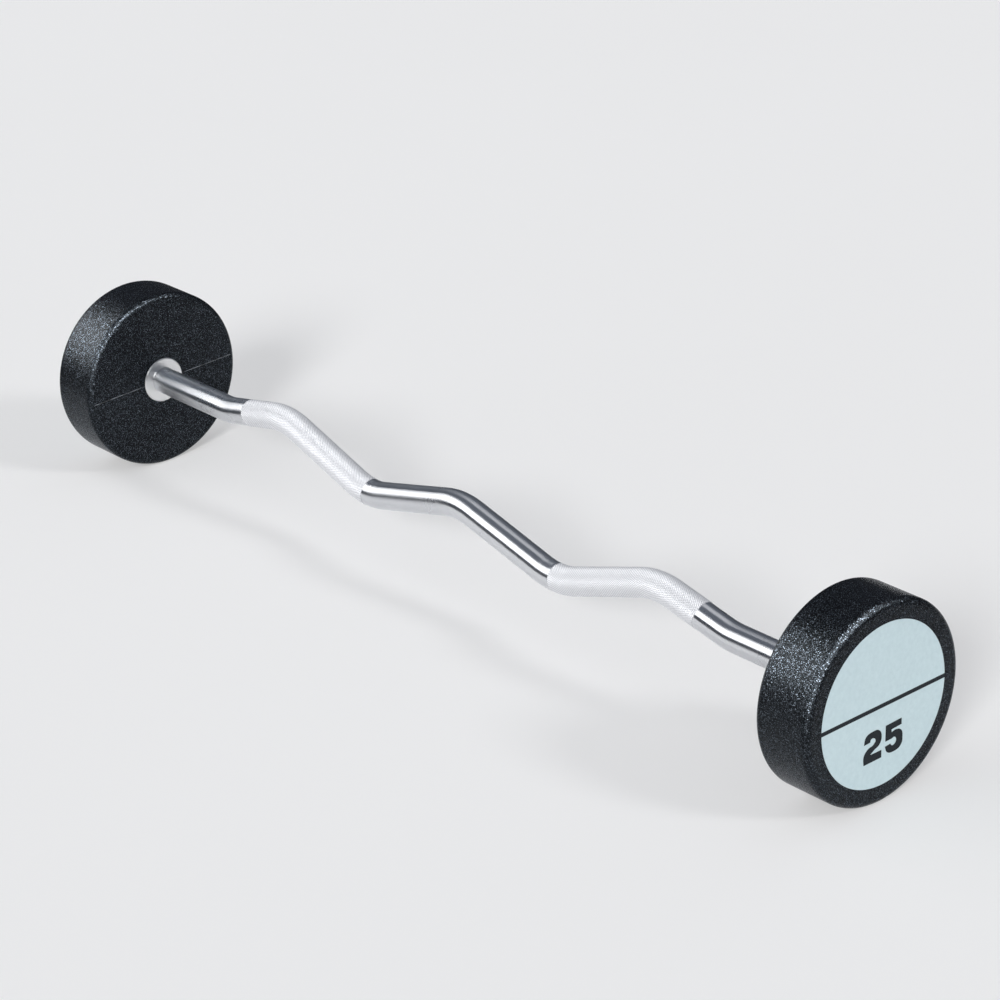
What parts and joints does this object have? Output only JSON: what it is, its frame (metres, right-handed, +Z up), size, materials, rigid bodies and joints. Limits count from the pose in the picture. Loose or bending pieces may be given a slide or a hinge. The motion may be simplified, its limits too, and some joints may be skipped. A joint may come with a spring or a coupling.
{
  "type": "ez curl bar",
  "caption": "Fixed-weight EZ curl barbell: a zigzag-bent chromed steel shaft with knurled grips, and a black urethane drum head with a pale inlaid end plate on each end.",
  "frame": {"origin": "the middle of the shaft's straight-end axis, halfway between the two end faces", "axes": "+X along the shaft to the right-hand head, +Z up, with the shaft's bends in the XZ plane and the heads standing on the floor below"},
  "size_m": [1.112, 0.194, 0.194],
  "materials": {
    "chromed_shaft": "hard chrome, polished between the knurled grips",
    "satin_steel": "turned satin",
    "cast_core": "as cast",
    "urethane": "moulded, fine stipple",
    "plain_steel": "zinc plated",
    "black_plastic": "satin",
    "pale_inlay": "satin"
  },
  "bodies": {
    "root": {"curl_bar": "chromed_shaft", "left_inner_flange": "satin_steel", "left_weight_core": "cast_core", "left_urethane_jacket": "urethane", "left_drive_key": "plain_steel", "left_end_bolt": "plain_steel", "left_retaining_washer": "plain_steel", "left_lock_washer": "plain_steel", "left_end_plate": "black_plastic", "left_upper_inlay": "pale_inlay", "left_lower_inlay": "pale_inlay", "right_inner_flange": "satin_steel", "right_weight_core": "cast_core", "right_urethane_jacket": "urethane", "right_drive_key": "plain_steel", "right_end_bolt": "plain_steel", "right_retaining_washer": "plain_steel", "right_lock_washer": "plain_steel", "right_end_plate": "black_plastic", "right_upper_inlay": "pale_inlay", "right_lower_inlay": "pale_inlay"}
  },
  "joints": []
}
